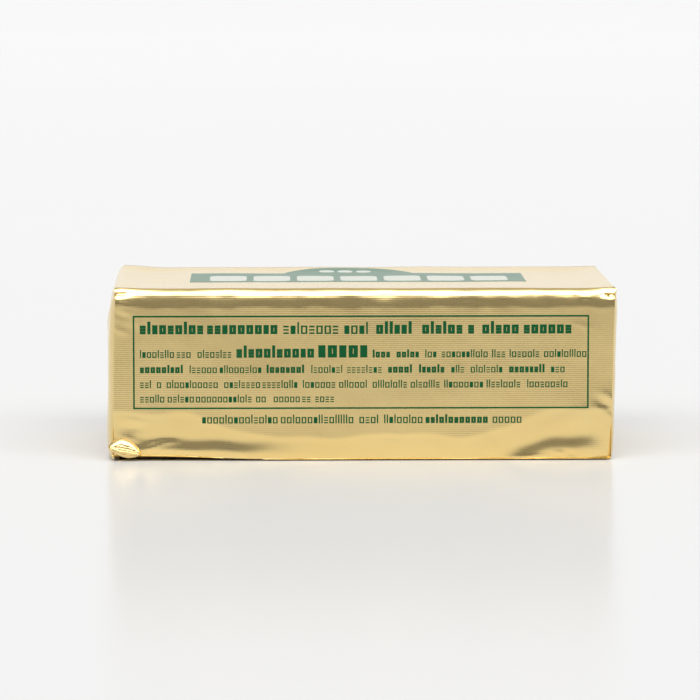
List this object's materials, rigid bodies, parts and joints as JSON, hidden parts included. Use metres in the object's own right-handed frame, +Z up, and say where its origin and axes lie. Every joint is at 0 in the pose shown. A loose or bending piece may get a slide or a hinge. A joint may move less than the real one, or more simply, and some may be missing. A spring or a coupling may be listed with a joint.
{
  "type": "wrapped butter block",
  "caption": "Long block of butter in a folded gold foil wrapper with a green printed band, rolled top edges, crossed end gussets and flaps folded under the base.",
  "frame": {"origin": "centre of the resting base, on the plane the block stands on", "axes": "+X along the block's length, -Y towards the printed front panel, +Z up through the top panel"},
  "size_m": [0.1168, 0.0574, 0.0397],
  "materials": {
    "gold_foil": "gold-lacquered embossed foil on paper, satin, printed in green"
  },
  "bodies": {
    "root": {"wrapped_block": "gold_foil"}
  },
  "joints": []
}
